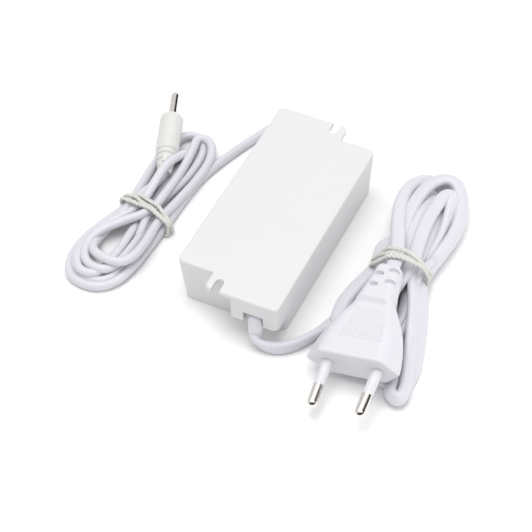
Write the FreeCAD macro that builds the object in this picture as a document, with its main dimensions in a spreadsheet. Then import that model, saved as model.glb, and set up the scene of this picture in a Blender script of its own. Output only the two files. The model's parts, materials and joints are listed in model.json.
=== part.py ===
import FreeCAD, Part

import math
import os

import Sketcher

from FreeCAD import Placement, Rotation, Vector

# A small mains adapter with a flat two-core mains lead, a Europlug and a round low-voltage
# lead with a barrel plug.  Millimetres, +Z up.  The origin is under the middle of the case,
# on the surface it stands on.  The mains lead leaves the front (-Y), the output the back (+Y).

DOC = FreeCAD.newDocument("laptop_power_adapter")
SHEET = DOC.addObject("Spreadsheet::Sheet", "dimensions")

DIMENSIONS = {
    "case_length": 95.4,       # over both exit hoods
    "case_width": 43.4,
    "case_height": 21.3,
    "wall": 2.0,
    "wall_taper": 1.2,         # how far each side leans in at the foot
    "corner_round": 2.4,
    "edge_round": 0.8,
    "cover_thickness": 2.0,
    "hood_reach": 7.5,         # how far a hood and an ear stand out of the end wall
    "hood_floor": 10.0,        # underside of a hood
    "hood_inner": 3.4,         # hood's flank nearest the middle of the case
    "notch_centre": 12.1,
    "notch_width": 7.8,
    "notch_top": 14.7,
    "slot_centre": 2.7,
    "slot_width": 3.4,
    "slot_depth": 5.6,
    "prong_width": 2.8,
    "board_width": 35.0,
    "board_length": 71.0,
    "board_thickness": 1.6,
    "board_height": 4.4,       # underside of the board
    "relief_width": 5.9,
    "relief_thickness": 4.2,
    "relief_height": 12.2,     # axis of each strain relief where it leaves its notch
    "mains_cord_width": 5.4,
    "mains_cord_thickness": 3.2,
    "dc_cord_diameter": 3.5,
    "plug_width": 35.3,
    "plug_thickness": 13.7,
    "plug_flat": 23.0,
    "plug_length": 27.0,
    "pin_diameter": 4.0,
    "pin_length": 19.0,
    "pin_spacing": 18.6,
    "pin_lean": 0.55,          # how far each tip leans towards the other pin
    "pin_inside": 9.0,
    "pin_cover_length": 10.0,
    "dc_plug_diameter": 9.3,
    "dc_plug_grip": 18.0,
    "barrel_diameter": 3.5,
    "barrel_length": 12.2,
    "barrel_bore": 1.35,
    "tie_thickness": 0.9,
    "tie_width": 3.6,
}

for row, (alias, number) in enumerate(DIMENSIONS.items(), start=1):
    SHEET.set(f"A{row}", alias.replace("_", " "))
    SHEET.set(f"B{row}", str(number))
    SHEET.setAlias(f"B{row}", alias)
DOC.recompute()

ROOT = "dimensions."
X_AXIS = Vector(1, 0, 0)
Y_AXIS = Vector(0, 1, 0)
Z_AXIS = Vector(0, 0, 1)
NO_TURN = Rotation()
HALF_TURN = Rotation(Z_AXIS, 180)
CLEAR = 0.05                   # gap left between pieces that slide together


def size(alias):
    return float(SHEET.get(alias))


# ---------------------------------------------------------------- shared helpers

PARTS = []


def keep(feature, label, placement=None):
    """Give a finished sub-part its name and place, and put it on the list that is written out."""
    feature.Label = label
    if placement is not None:
        feature.Placement = placement
    PARTS.append(feature)
    return feature


def new_body(name):
    return DOC.addObject("PartDesign::Body", name)


def new_sketch(body, name, role="XY_Plane", height="0"):
    """A sketch on one of the body's own origin planes, lifted by an expression."""
    sketch = body.newObject("Sketcher::SketchObject", name)
    plane = next(item for item in body.Origin.OriginFeatures if item.Role == role)
    sketch.AttachmentSupport = [(plane, "")]
    sketch.MapMode = "FlatFace"
    sketch.setExpression(".AttachmentOffset.Base.z", height)
    return sketch


def hold(sketch, kind, edge, point, expression):
    """Fix one coordinate of a sketch vertex to an expression of the sheet's cells."""
    number = SHEET.evalExpression(expression)
    number = float(getattr(number, "Value", number))
    name = f"{kind.lower()}_{edge}_{point}"
    if number < 0:
        index = sketch.addConstraint(Sketcher.Constraint(kind, edge, point, -1, 1, -number))
        expression = f"-({expression})"
    else:
        index = sketch.addConstraint(Sketcher.Constraint(kind, -1, 1, edge, point, number))
    sketch.renameConstraint(index, name)
    sketch.setExpression(f"Constraints.{name}", expression)


def rectangle(sketch, left, right, front, back):
    """Four joined sides whose places are expressions."""
    first = sketch.GeometryCount
    corners = [Vector(0, 0, 0), Vector(1, 0, 0), Vector(1, 1, 0), Vector(0, 1, 0)]
    for start, end in zip(corners, corners[1:] + corners[:1]):
        sketch.addGeometry(Part.LineSegment(start, end), False)
    for side in range(4):
        joined = first + (side + 1) % 4
        sketch.addConstraint(Sketcher.Constraint("Coincident", first + side, 2, joined, 1))
    for side in (0, 2):
        sketch.addConstraint(Sketcher.Constraint("Horizontal", first + side))
        sketch.addConstraint(Sketcher.Constraint("Vertical", first + side + 1))
    hold(sketch, "DistanceX", first, 1, left)
    hold(sketch, "DistanceX", first, 2, right)
    hold(sketch, "DistanceY", first, 1, front)
    hold(sketch, "DistanceY", first + 2, 1, back)


def extrude(body, name, sketch, length, kind="Pad", backwards=False):
    """A Pad or a Pocket of one sketch.  It must change the body's volume."""
    before = 0 if body.Shape.isNull() else body.Shape.Volume
    feature = body.newObject(f"PartDesign::{kind}", name)
    feature.Profile = sketch
    feature.setExpression("Length", length)
    feature.Reversed = backwards
    DOC.recompute()
    change = feature.Shape.Volume - before
    if (change <= 0) if kind == "Pad" else (change >= 0):
        raise RuntimeError(f"{name} changes the volume by {change:.1f}")
    return feature


def fillet(body, name, base, edges, radius):
    feature = body.newObject("PartDesign::Fillet", name)
    feature.Base = (base, edges)
    feature.setExpression("Radius", radius)
    DOC.recompute()
    return feature


def find_edges(shape, test):
    """Names of the edges whose two ends and middle satisfy test(start, middle, end)."""
    names = []
    for index, edge in enumerate(shape.Edges, start=1):
        start, end = edge.valueAt(edge.FirstParameter), edge.valueAt(edge.LastParameter)
        middle = edge.valueAt((edge.FirstParameter + edge.LastParameter) / 2)
        if test(start, middle, end):
            names.append(f"Edge{index}")
    return names


def hull_outline(circles):
    """Outline round circles (x, y, radius), given anticlockwise: outer tangents joined by arcs."""
    count = len(circles)
    tangents = []
    for index in range(count):
        ax, ay, a_radius = circles[index]
        bx, by, b_radius = circles[(index + 1) % count]
        span = math.hypot(bx - ax, by - ay)
        heading = math.atan2(by - ay, bx - ax)
        normal = heading - math.acos((a_radius - b_radius) / span)
        start = Vector(ax + a_radius * math.cos(normal), ay + a_radius * math.sin(normal), 0)
        end = Vector(bx + b_radius * math.cos(normal), by + b_radius * math.sin(normal), 0)
        tangents.append((start, end, normal))
    pieces = []
    for index in range(count):
        start, end, normal = tangents[index]
        following, _, next_normal = tangents[(index + 1) % count]
        pieces.append(Part.LineSegment(start, end))
        bx, by, b_radius = circles[(index + 1) % count]
        turn = (next_normal - normal) % (2 * math.pi)
        middle = normal + turn / 2
        through = Vector(bx + b_radius * math.cos(middle), by + b_radius * math.sin(middle), 0)
        pieces.append(Part.Arc(end, through, following))
    return pieces


def draw(sketch, pieces):
    for piece in pieces:
        sketch.addGeometry(piece, False)


def box(name, length, width, height, corner):
    """A Part::Box.  Sizes are numbers or expressions; corner is its lowest corner."""
    item = DOC.addObject("Part::Box", name)
    for side, amount in (("Length", length), ("Width", width), ("Height", height)):
        item.setExpression(side, str(amount))
    item.Placement = Placement(Vector(*corner), NO_TURN)
    return item


def cylinder(name, radius, height, base, axis=Z_AXIS):
    item = DOC.addObject("Part::Cylinder", name)
    item.setExpression("Radius", str(radius))
    item.setExpression("Height", str(height))
    item.Placement = Placement(Vector(*base), Rotation(Z_AXIS, axis))
    return item


def torus(name, ring, section, centre, axis=Z_AXIS):
    item = DOC.addObject("Part::Torus", name)
    item.setExpression("Radius1", str(ring))
    item.setExpression("Radius2", str(section))
    item.Placement = Placement(Vector(*centre), Rotation(Z_AXIS, axis))
    return item


def fuse(name, items):
    joined = DOC.addObject("Part::MultiFuse", name)
    joined.Shapes = items
    return joined


def cut(name, base, tool):
    result = DOC.addObject("Part::Cut", name)
    result.Base = base
    result.Tool = tool
    return result


def group(name, items):
    """Several separate solids in one sub-part."""
    bundle = DOC.addObject("Part::Compound", name)
    bundle.Links = items
    return bundle


def rounded_path(points, report=None):
    """Straight runs joined by tangent arcs, each arc as large as its two runs allow."""
    nodes = [Vector(*point) for point in points]
    edges = []
    last = nodes[0]
    radii = []
    for before, corner, after in zip(nodes, nodes[1:], nodes[2:]):
        inward = (before - corner).normalize()
        outward = (after - corner).normalize()
        half_turn = (math.pi - inward.getAngle(outward)) / 2
        trim = 0.45 * min((before - corner).Length, (after - corner).Length)
        radius = trim / math.tan(half_turn)
        bisector = (inward + outward).normalize()
        reach = radius / math.cos(half_turn) - radius
        start = corner + inward * trim
        end = corner + outward * trim
        edges.append(Part.LineSegment(last, start).toShape())
        edges.append(Part.Arc(start, corner + bisector * reach, end).toShape())
        last = end
        radii.append(radius)
    edges.append(Part.LineSegment(last, nodes[-1]).toShape())
    if report:
        print(report, "radii", [round(radius, 1) for radius in radii])
    return Part.Wire(edges)


def swept(name, path, profile):
    """A Part::Feature that carries one closed profile along a path without twisting it."""
    solid = path.makePipeShell([profile], True, False)
    item = DOC.addObject("Part::Feature", name)
    item.Shape = solid
    return item


def tube(name, points, diameter, report=False):
    """A round tube along a path.  Its volume must be its section times its length."""
    path = rounded_path(points, name if report else None)
    start = Vector(*points[0])
    heading = Vector(*points[1]) - start
    profile = Part.Wire([Part.Circle(start, heading, diameter / 2).toShape()])
    item = swept(name, path, profile)
    expected = math.pi * (diameter / 2) ** 2 * path.Length
    if abs(item.Shape.Volume / expected - 1) > 0.01:
        raise RuntimeError(f"{name}: volume {item.Shape.Volume:.1f}, expected {expected:.1f}")
    if report:
        print(name, "length", round(path.Length, 1), "volume ratio", item.Shape.Volume / expected)
    return item


def stadium(centre, across, up, width, thickness):
    """A closed flat-sided section with round edges, in the plane of across and up."""
    straight = (width - thickness) / 2
    half = thickness / 2
    right = centre + across * straight
    left = centre - across * straight
    return Part.Wire([
        Part.LineSegment(left - up * half, right - up * half).toShape(),
        Part.Arc(right - up * half, right + across * half, right + up * half).toShape(),
        Part.LineSegment(right + up * half, left + up * half).toShape(),
        Part.Arc(left + up * half, left - across * half, left - up * half).toShape(),
    ])


# ---------------------------------------------------------------- case

HALF_WIDTH = ROOT + "case_width / 2"
FOOT_WIDTH = f"({HALF_WIDTH} - {ROOT}wall_taper)"
HALF_LENGTH = f"({ROOT}case_length / 2)"
HALF_BODY = f"({HALF_LENGTH} - {ROOT}hood_reach)"
FOOT_BODY = f"({HALF_BODY} - {ROOT}wall_taper)"
RIM = f"({ROOT}case_height - {ROOT}cover_thickness)"
WALL = ROOT + "wall"
FLANGE_INSET = 4.4             # from a hood's end face to the flange of its strain relief
END = size("case_length") / 2
SIDE = size("case_width") / 2
RIM_HEIGHT = size("case_height") - size("cover_thickness")


def draft(body, name, base):
    """Lean the four side walls inward towards the foot; they keep their size at the rim."""
    feature = body.newObject("PartDesign::Draft", name)
    sides = [f"Face{index}" for index, face in enumerate(base.Shape.Faces, start=1)
             if abs(face.normalAt(0, 0).z) < 0.01]
    top = next(f"Face{index}" for index, face in enumerate(base.Shape.Faces, start=1)
               if face.normalAt(0, 0).z > 0.99)
    feature.Base = (base, sides)
    feature.NeutralPlane = (base, [top])
    feature.setExpression("Angle", f"atan({ROOT}wall_taper / {RIM})")
    feature.Reversed = True
    DOC.recompute()
    return feature


def doubled(body, name, features):
    """Repeat features on the opposite end of the case, half a turn about Z."""
    pattern = body.newObject("PartDesign::PolarPattern", name)
    pattern.Originals = features
    axis = next(item for item in body.Origin.OriginFeatures if item.Role == "Z_Axis")
    pattern.Axis = (axis, [""])
    pattern.Angle = 360
    pattern.Occurrences = 2
    body.Tip = pattern
    DOC.recompute()
    return pattern


def is_upright(start, middle, end):
    return abs(start.z - end.z) > 15


def upright_at(x, y):
    """Test for the upright edge that stands at one point of the plan."""
    def test(start, middle, end):
        near = abs(middle.x - x) < 0.1 and abs(middle.y - y) < 0.1
        return near and abs(start.z - end.z) > 1
    return test


def make_lower_housing():
    """Tub with leaning walls; each end has a hood over a notch for its lead."""
    body = new_body("lower_housing")
    rim = new_sketch(body, "housing_rim", height=RIM)
    rectangle(rim, f"-{HALF_WIDTH}", HALF_WIDTH, f"-{HALF_BODY}", HALF_BODY)
    block = extrude(body, "housing_block", rim, RIM, backwards=True)
    walls = draft(body, "housing_draft", block)
    fillet(body, "housing_corners", walls, find_edges(walls.Shape, is_upright), ROOT + "corner_round")

    hood = new_sketch(body, "hood_plan", height=ROOT + "hood_floor")
    rectangle(hood, ROOT + "hood_inner", HALF_WIDTH, f"-{HALF_LENGTH}",
              f"-{HALF_BODY} + {ROOT}corner_round + 2")
    hood_pad = extrude(body, "hood", hood, f"{RIM} - {ROOT}hood_floor")
    hoods = doubled(body, "hoods", [hood_pad])
    corners = []
    for sign in (1, -1):
        corners += find_edges(hoods.Shape, upright_at(sign * SIDE, -sign * END))
    fillet(body, "hood_corners", hoods, corners, ROOT + "corner_round")

    mouth = new_sketch(body, "cavity_mouth", height=RIM)
    rectangle(mouth, f"-({FOOT_WIDTH} - {WALL})", f"{FOOT_WIDTH} - {WALL}",
              f"-({FOOT_BODY} - {WALL})", f"{FOOT_BODY} - {WALL}")
    extrude(body, "cavity", mouth, f"{RIM} - {WALL}", "Pocket")

    chamber = new_sketch(body, "chamber_plan", height=RIM)
    rectangle(chamber, f"{ROOT}hood_inner + {WALL}", f"{HALF_WIDTH} - {WALL}",
              f"-({HALF_LENGTH} - {WALL})", f"-({FOOT_BODY} - {WALL} - 1)")
    chamber_cut = extrude(body, "chamber", chamber, f"{RIM} - {ROOT}hood_floor - {WALL}", "Pocket")
    notch = new_sketch(body, "notch_plan", height=ROOT + "notch_top")
    rectangle(notch, f"{ROOT}notch_centre - {ROOT}notch_width / 2",
              f"{ROOT}notch_centre + {ROOT}notch_width / 2",
              f"-({HALF_LENGTH} + 1)", f"-({HALF_LENGTH} - {FLANGE_INSET})")
    notch_cut = extrude(body, "notch", notch, f"{ROOT}notch_top - {ROOT}hood_floor + 1", "Pocket")
    doubled(body, "lead_openings", [chamber_cut, notch_cut])

    posts = new_sketch(body, "board_posts", height=WALL)
    for x_sign in (-1, 1):
        for y_sign in (-1, 1):
            spot = Vector(x_sign * POST_X, y_sign * POST_Y, 0)
            posts.addGeometry(Part.Circle(spot, Z_AXIS, POST_RADIUS), False)
    extrude(body, "posts", posts, f"{ROOT}board_height - {WALL}")
    return keep(body, "lower_housing")


def make_mounting_cover():
    """Flat plate that closes the tub.  Its two slotted ears take the fixing screws."""
    body = new_body("mounting_cover")
    plate = new_sketch(body, "plate_plan", height=RIM)
    rectangle(plate, f"-{HALF_WIDTH}", HALF_WIDTH, f"-{HALF_BODY}", HALF_BODY)
    plate_pad = extrude(body, "plate", plate, ROOT + "cover_thickness")
    fillet(body, "plate_corners", plate_pad,
           find_edges(plate_pad.Shape, lambda start, middle, end: abs(start.z - end.z) > 1),
           ROOT + "corner_round")
    ear = new_sketch(body, "ear_plan", height=RIM)
    ear_side = f"({ROOT}slot_centre + {ROOT}slot_width / 2 + {ROOT}prong_width)"
    rectangle(ear, f"-{ear_side}", HALF_WIDTH, f"-{HALF_LENGTH}",
              f"-{HALF_BODY} + {ROOT}corner_round + 2")
    ear_pad = extrude(body, "ear", ear, ROOT + "cover_thickness")
    ears = doubled(body, "ears", [ear_pad])
    outer = []
    for sign in (1, -1):
        outer += find_edges(ears.Shape, upright_at(sign * SIDE, -sign * END))
    rounded = fillet(body, "cover_corners", ears, outer, ROOT + "corner_round")
    prong = size("slot_centre") + size("slot_width") / 2 + size("prong_width")
    tips = []
    for sign in (1, -1):
        tips += find_edges(rounded.Shape, upright_at(-sign * prong, -sign * END))
    tips = fillet(body, "prong_tips", rounded, tips, f"{ROOT}prong_width - 0.3")
    top = size("case_height")
    rim_edges = find_edges(tips.Shape, lambda start, middle, end:
                           min(start.z, middle.z, end.z) > top - 0.01)
    fillet(body, "top_edge", tips, rim_edges, ROOT + "edge_round")

    slot = new_sketch(body, "slot_plan", height=ROOT + "case_height")
    centre = size("slot_centre")
    radius = size("slot_width") / 2
    closed_end = -END + size("slot_depth") - radius
    draw(slot, hull_outline([(-centre, closed_end, radius), (-centre, -END - 5, radius)]))
    slot_cut = extrude(body, "slot", slot, ROOT + "cover_thickness + 1", "Pocket")
    doubled(body, "slots", [slot_cut])

    lip = new_sketch(body, "lip_plan", height=RIM)
    for inset in ("0.15", "1.35"):
        rectangle(lip, f"-({FOOT_WIDTH} - {WALL} - {inset})", f"{FOOT_WIDTH} - {WALL} - {inset}",
                  f"-({FOOT_BODY} - {WALL} - {inset})", f"{FOOT_BODY} - {WALL} - {inset}")
    extrude(body, "lip", lip, "1.4", backwards=True)
    return keep(body, "mounting_cover")


# ---------------------------------------------------------------- circuit board and parts

BOARD_TOP = size("board_height") + size("board_thickness")
POST_X = 15.0
POST_Y = 33.5
POST_RADIUS = 1.9


def make_circuit_board():
    body = new_body("circuit_board")
    plan = new_sketch(body, "board_plan", height=ROOT + "board_height")
    rectangle(plan, f"-{ROOT}board_width / 2", ROOT + "board_width / 2",
              f"-{ROOT}board_length / 2", ROOT + "board_length / 2")
    pad = extrude(body, "board_blank", plan, ROOT + "board_thickness")
    fillet(body, "board_corners", pad,
           find_edges(pad.Shape, lambda start, middle, end: abs(start.z - end.z) > 1), "1.5")
    slit = new_sketch(body, "isolation_slit", height=f"{ROOT}board_height + {ROOT}board_thickness")
    draw(slit, hull_outline([(-2.5, 19.6, 0.8), (6.5, 19.6, 0.8)]))
    extrude(body, "slit", slit, ROOT + "board_thickness", "Pocket")
    return keep(body, "circuit_board")


def make_insulation_sheet():
    """Thin tray under the board, between it and the tub's floor, notched for the posts."""
    thickness = 0.4
    sheet = box("sheet_blank", 31.0, 66.0, thickness, (-15.5, -33.0, size("wall") + CLEAR))
    posts = []
    for x_sign in (-1, 1):
        for y_sign in (-1, 1):
            posts.append(cylinder("sheet_corner", POST_RADIUS + 0.6, 4,
                                  (x_sign * POST_X, y_sign * POST_Y, 1)))
    return keep(cut("sheet_cut", sheet, fuse("sheet_corners", posts)), "insulation_sheet")


def on_board(x, y, lift=0.0):
    return (x, y, BOARD_TOP + lift)


def make_fuse_and_filter():
    keep(cylinder("fuse", 4.0, 7.5, on_board(-3.0, -30.2)), "input_fuse")
    keep(cylinder("varistor", 4.2, 3.4, on_board(3.0, -30.4, 4.3), X_AXIS), "varistor")
    keep(box("x_capacitor", 12.5, 5.5, 10.5, on_board(-16.2, -25.6)), "x_capacitor")
    choke = Vector(*on_board(-9.5, -16.3, 6.4))
    ring_radius = 4.4
    keep(torus("choke_ring", ring_radius, 1.8, tuple(choke), Y_AXIS), "choke_core")
    turns = []
    for side in (-1, 1):
        for turn in range(5):
            angle = math.radians(side * (50 + 20 * turn))
            spoke = Vector(math.sin(angle), 0, math.cos(angle))
            heading = Vector(math.cos(angle), 0, -math.sin(angle))
            turns.append(torus("choke_turn", 2.26, 0.4, tuple(choke + spoke * ring_radius), heading))
    keep(group("choke_turns", turns), "choke_windings")
    keep(box("bridge", 8.4, 6.4, 3.2, on_board(3.0, -23.6, 0.3)), "bridge_rectifier")


def make_primary_side():
    keep(cylinder("bulk", 5.0, 16.0, on_board(-17.0, -8.1, 5.0), X_AXIS), "bulk_capacitor")
    sink = new_body("primary_heatsink")
    profile = new_sketch(sink, "sink_profile", "XZ_Plane")
    draw(profile, angle_plate(15.6, BOARD_TOP, 1.5, 12.0, -7.0))
    extrude(sink, "sink_plate", profile, "17")
    keep(sink, "primary_heatsink", Placement(Vector(0, 3.0, 0), NO_TURN))
    tab = box("transistor_tab", 1.2, 10.0, 7.8, on_board(12.85, -13.0, 2.4))
    case = box("transistor_case", 2.2, 10.0, 5.6, on_board(10.65, -13.0, 1.4))
    keep(cut("transistor", fuse("transistor_body", [tab, case]),
             cylinder("transistor_hole", 1.3, 6, on_board(10, -8.0, 8.6), X_AXIS)),
         "power_transistor")
    keep(box("controller", 3.9, 4.9, 1.5, on_board(3.4, -14.0, 0.1)), "controller_chip")
    keep(box("opto", 6.4, 4.6, 3.4, on_board(8.8, 17.3, 0.3)), "optocoupler")
    keep(cylinder("y_capacitor", 3.6, 3.2, on_board(-7.4, 21.1, 3.8), X_AXIS), "y_capacitor")
    chips = []
    for column in range(2):
        for line in range(4):
            corner = on_board(3.2 + 2.6 * column, -8.0 + 1.6 * line)
            chips.append(box("chip_resistor", 1.6, 0.8, 0.5, corner))
    keep(group("chip_resistor_group", chips), "chip_resistors")


def angle_plate(x, foot, thickness, height, reach):
    """Outline of an L-shaped plate in a vertical plane; its top flange runs by reach."""
    inner = x + math.copysign(thickness, reach)
    top = foot + height
    corners = [
        (x, foot), (x, top), (x + reach, top), (x + reach, top - thickness),
        (inner, top - thickness), (inner, foot),
    ]
    corners = [Vector(a, b, 0) for a, b in corners]
    return [Part.LineSegment(a, b) for a, b in zip(corners, corners[1:] + corners[:1])]


def make_transformer():
    """Flat E cores on a bobbin that lies along Y; the winding wraps the middle leg."""
    width, depth, leg, core_height = 22.0, 10.0, 4.0, 6.0
    centre_x, centre_y = 1.0, 7.2
    core_base = BOARD_TOP + 3.4
    for label, sign in (("transformer_core_front", -1), ("transformer_core_rear", 1)):
        inner_y = centre_y if sign > 0 else centre_y - depth
        blank = box("core_blank", width, depth, core_height, (centre_x - width / 2, inner_y, core_base))
        windows = []
        window = (width - 3 * leg) / 2
        for side in (-1, 1):
            low_x = centre_x + (leg / 2 if side > 0 else -leg / 2 - window)
            low_y = centre_y if sign > 0 else centre_y - depth + leg
            corner = (low_x, low_y, core_base)
            windows.append(box("core_window", window, depth - leg, core_height, corner))
        keep(cut("core_half", blank, fuse("core_windows", windows)), label)
    wall = 0.7
    spool_low = (centre_x - leg / 2 - wall, centre_y - depth + leg + CLEAR, core_base - wall)
    length = 2 * (depth - leg) - 2 * CLEAR
    spool = box("bobbin_spool", leg + 2 * wall, length, core_height + 2 * wall, spool_low)
    bore_corner = (centre_x - leg / 2, spool_low[1] - 1, core_base)
    bore = box("bobbin_bore", leg, length + 2, core_height, bore_corner)
    flanges = []
    for y in (spool_low[1], spool_low[1] + length - 1.0):
        flanges.append(box("bobbin_flange", leg + 2 * window_room(width, leg), 1.0, core_height + 5.6,
                           (centre_x - leg / 2 - window_room(width, leg), y, core_base - 2.8)))
    bobbin = cut("bobbin", fuse("bobbin_blank", [spool] + flanges), bore)
    keep(bobbin, "transformer_bobbin")
    wound = 2.4
    coil = box("coil_blank", leg + 2 * wound, length - 2.0, core_height + 2 * wound,
               (centre_x - leg / 2 - wound, spool_low[1] + 1.0, core_base - wound))
    hollow = box("coil_bore", leg + 2 * wall, length, core_height + 2 * wall,
                 (centre_x - leg / 2 - wall, spool_low[1], core_base - wall))
    keep(cut("coil", coil, hollow), "transformer_winding")


def window_room(width, leg):
    """Room that a core's window leaves beside its middle leg, less a running gap."""
    return (width - 3 * leg) / 2 - CLEAR


def make_secondary_side():
    sink = new_body("secondary_heatsink")
    profile = new_sketch(sink, "second_profile", "XZ_Plane")
    draw(profile, angle_plate(-16.2, BOARD_TOP, 1.5, 11.0, 5.0))
    extrude(sink, "second_plate", profile, "13")
    keep(sink, "secondary_heatsink", Placement(Vector(0, 33.0, 0), NO_TURN))
    tab = box("rectifier_tab", 1.2, 9.0, 8.4, on_board(-14.65, 22.0, 0.6))
    case = box("rectifier_case", 2.2, 9.0, 5.6, on_board(-13.45, 22.0, 0.6))
    keep(fuse("rectifier", [tab, case]), "output_rectifier")
    capacitors = []
    for x in (2.4, 11.6):
        capacitors.append(cylinder("output_capacitor", 4.0, 11.5, on_board(x, 26.4)))
    keep(group("output_capacitor_pair", capacitors), "output_capacitors")
    drum = [cylinder("drum_foot", 3.6, 1.2, on_board(-6.4, 28.6)),
            cylinder("drum_post", 1.8, 7.0, on_board(-6.4, 28.6)),
            cylinder("drum_head", 3.6, 1.2, on_board(-6.4, 28.6, 5.8))]
    keep(fuse("drum", drum), "output_choke_core")
    coil = cylinder("drum_coil", 3.4, 4.5, on_board(-6.4, 28.6, 1.25))
    keep(cut("drum_coil_ring", coil, cylinder("drum_hole", 1.85, 6.0, on_board(-6.4, 28.6, 1.0))),
         "output_choke_winding")


# ---------------------------------------------------------------- leads inside the case

RELIEF_HEIGHT = size("relief_height")
RELIEF_X = 12.45
FLANGE_Y = END - FLANGE_INSET
FLANGE_THICKNESS = 1.2


def make_inner_wires():
    """Two cores run from each strain relief's flange, over the hood, down to the board."""
    level = RELIEF_HEIGHT + 0.7
    pad_y = 33.2
    pairs = (("live_wire", "neutral_wire", -1), ("positive_wire", "negative_wire", 1))
    for first, second, sign in pairs:
        for label, offset in ((first, 1.3), (second, -1.3)):
            x = -sign * RELIEF_X + offset
            start = (x, sign * (FLANGE_Y - FLANGE_THICKNESS), level)
            keep(tube(label, [start, (x, sign * pad_y, level), (x, sign * pad_y, BOARD_TOP)], 1.5),
                 label)


def make_strain_relief(label, sign, end_points, width, thickness):
    """Moulded sleeve on the lead: a flange behind the notch and a bent neck in front of it."""
    start = Vector(-sign * RELIEF_X, sign * FLANGE_Y, RELIEF_HEIGHT)
    path = rounded_path([tuple(start)] + end_points)
    neck = swept(label + "_neck", path, stadium(start, X_AXIS, Z_AXIS, width, thickness))
    low_y = sign * FLANGE_Y - (FLANGE_THICKNESS if sign > 0 else 0.0)
    corner = (-sign * RELIEF_X - width / 2 - 2.0, low_y, size("hood_floor") + size("wall") + CLEAR)
    flange = box(label + "_flange", width + 4.0, FLANGE_THICKNESS, 4.4, corner)
    return keep(fuse(label + "_solid", [neck, flange]), label)


# ---------------------------------------------------------------- leads outside the case

MAINS_NECK = [(12.45, -46.4, 12.2), (13.5, -48.7, 7.0)]
DC_NECK = [(-12.45, 47.6, 12.2), (-13.0, 50.6, 9.2)]

MAINS_ROUTE = [
    (13.15, -47.6, 9.5), (14.1, -50.0, 3.6), (20.6, -50.0, 2.75), (27.4, -45.2, 2.75),
    (32.0, -36.5, 2.75),
]
DC_ROUTE = [
    (-13.0, 49.6, 10.1), (-13.9, 55.5, 5.4), (-18.3, 59.5, 2.6), (-23.8, 59.3, 1.8),
    (-28.0, 55.0, 1.8), (-31.0, 48.4, 1.8), (-35.3, 38.0, 1.8), (-39.7, 25.6, 1.8),
]

# Plan outlines of the hanks: circles (x, y, radius) that a taut band would go round.
HANK_FOOT = 1.0
MAINS_WAIST = (49.6, 0.0, 10.4)
MAINS_HANK = [MAINS_WAIST, (49.5, 34.0, 16.2)]
MAINS_LOOP = [
    (40.0, -38.5, 10.0), (65.5, -46.0, 9.6), (66.5, -36.0, 7.6), (52.0, -8.0, 9.3),
    (46.5, -8.0, 9.3),
]
MAINS_HANK_TOP = 13.0
MAINS_LOOP_TOP = 8.0
DC_WAIST = (-51.6, -10.5, 10.6)
DC_LOWER = [DC_WAIST, (-57.2, -35.8, 16.8)]
DC_UPPER = [DC_WAIST, (-51.6, 27.3, 12.6)]
DC_RIDGE = [(-50.0, -10.5, 7.5), (-47.6, 29.0, 6.6), (-50.2, 29.0, 6.6)]
DC_HANK_TOP = 8.0
DC_SHELF_TOP = 4.4


def outline_pad(body, name, circles, foot, top):
    sketch = new_sketch(body, name + "_plan", height=str(foot))
    draw(sketch, hull_outline(circles))
    return extrude(body, name, sketch, str(top - foot))


def make_mains_cord():
    width, thickness = size("mains_cord_width"), size("mains_cord_thickness")
    area = (width - thickness) * thickness + math.pi * (thickness / 2) ** 2
    keep(tube("mains_lead", MAINS_ROUTE, 2 * math.sqrt(area / math.pi), report=True), "mains_cord")
    hank = new_body("mains_hank")
    outline_pad(hank, "mains_hank_pad", MAINS_HANK, HANK_FOOT, MAINS_HANK_TOP)
    keep(hank, "mains_cord_hank")
    loop = new_body("mains_loop")
    outline_pad(loop, "mains_loop_pad", MAINS_LOOP, HANK_FOOT, MAINS_LOOP_TOP)
    over_plug = box("plug_room", 42, 70, 30, (0, 0, 0))
    over_plug.Placement = PLUG_PLACE.multiply(
        Placement(Vector(-21, -2, -size("plug_thickness") / 2 - CLEAR), NO_TURN))
    beyond_waist = DOC.addObject("Part::Feature", "hank_room")
    grown = [(x, y, radius + CLEAR) for x, y, radius in MAINS_HANK]
    face = Part.Face(Part.Wire([piece.toShape() for piece in hull_outline(grown)]))
    beyond_waist.Shape = face.extrude(Vector(0, 0, 40))
    keep(cut("loop_under_plug", loop, fuse("loop_cutters", [over_plug, beyond_waist])),
         "mains_cord_loop")


def make_dc_cord():
    keep(tube("dc_lead", DC_ROUTE, size("dc_cord_diameter"), report=True), "dc_cord")
    hank = new_body("dc_hank")
    outline_pad(hank, "dc_lower_pad", DC_LOWER, HANK_FOOT, DC_HANK_TOP)
    outline_pad(hank, "dc_upper_pad", DC_UPPER, HANK_FOOT, DC_SHELF_TOP)
    outline_pad(hank, "dc_upper_ridge", DC_RIDGE, HANK_FOOT, DC_HANK_TOP)
    back = size("dc_plug_grip") + 12.5
    groove = cylinder("dc_plug_room", size("dc_plug_diameter") / 2 + CLEAR, back + 2.0, (0, 0, 0))
    groove.Placement = DC_PLUG_PLACE.multiply(Placement(Vector(0, 0, -back), NO_TURN))
    keep(cut("dc_hank_grooved", hank, groove), "dc_cord_hank")


# Inner outlines of the ties: circles (across, height, radius) that a taut band would go round.
MAINS_TIE = [
    (-10.6, 2.2, 1.2), (10.6, 2.2, 1.2), (9.6, 11.6, 1.9), (3.2, 16.0, 2.6), (-5.0, 15.4, 2.6),
    (-9.9, 11.6, 1.9),
]
DC_TIE = [(-10.8, 2.2, 1.2), (10.8, 2.2, 1.2), (10.4, 7.0, 1.6), (-10.4, 7.0, 1.6)]


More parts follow.
